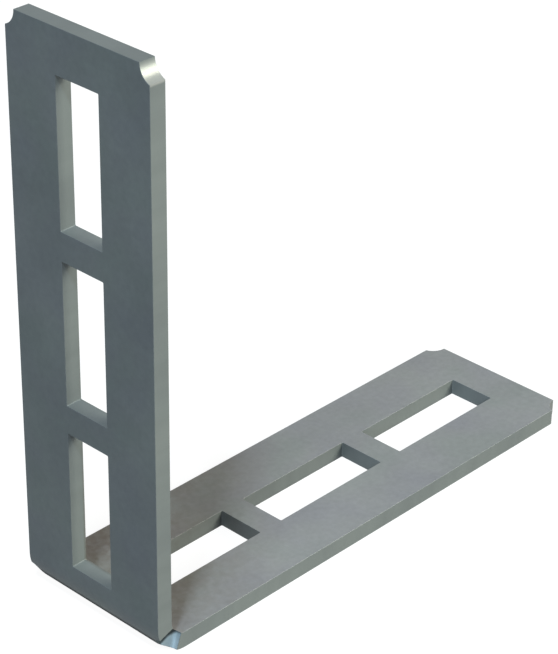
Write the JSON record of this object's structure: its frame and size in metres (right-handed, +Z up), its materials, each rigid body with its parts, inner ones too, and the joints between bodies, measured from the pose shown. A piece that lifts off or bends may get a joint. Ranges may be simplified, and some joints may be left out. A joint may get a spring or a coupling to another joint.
{
  "type": "angle bracket",
  "caption": "Flat steel strip folded once into a square L, with rectangular windows along both legs for bolts and straps.",
  "frame": {"origin": "middle of the bounding box's footprint, on the surface that the foot rests on", "axes": "+X along the foot towards its free end, Y across the strip, +Z up along the upright, which stands at the -X end"},
  "size_m": [0.101, 0.03, 0.101],
  "materials": {
    "galvanised_steel": "hot-dip galvanised sheet steel, dull blue-grey with a faint cloudy spangle"
  },
  "bodies": {
    "root": {"angle_bracket": "galvanised_steel"}
  },
  "joints": []
}
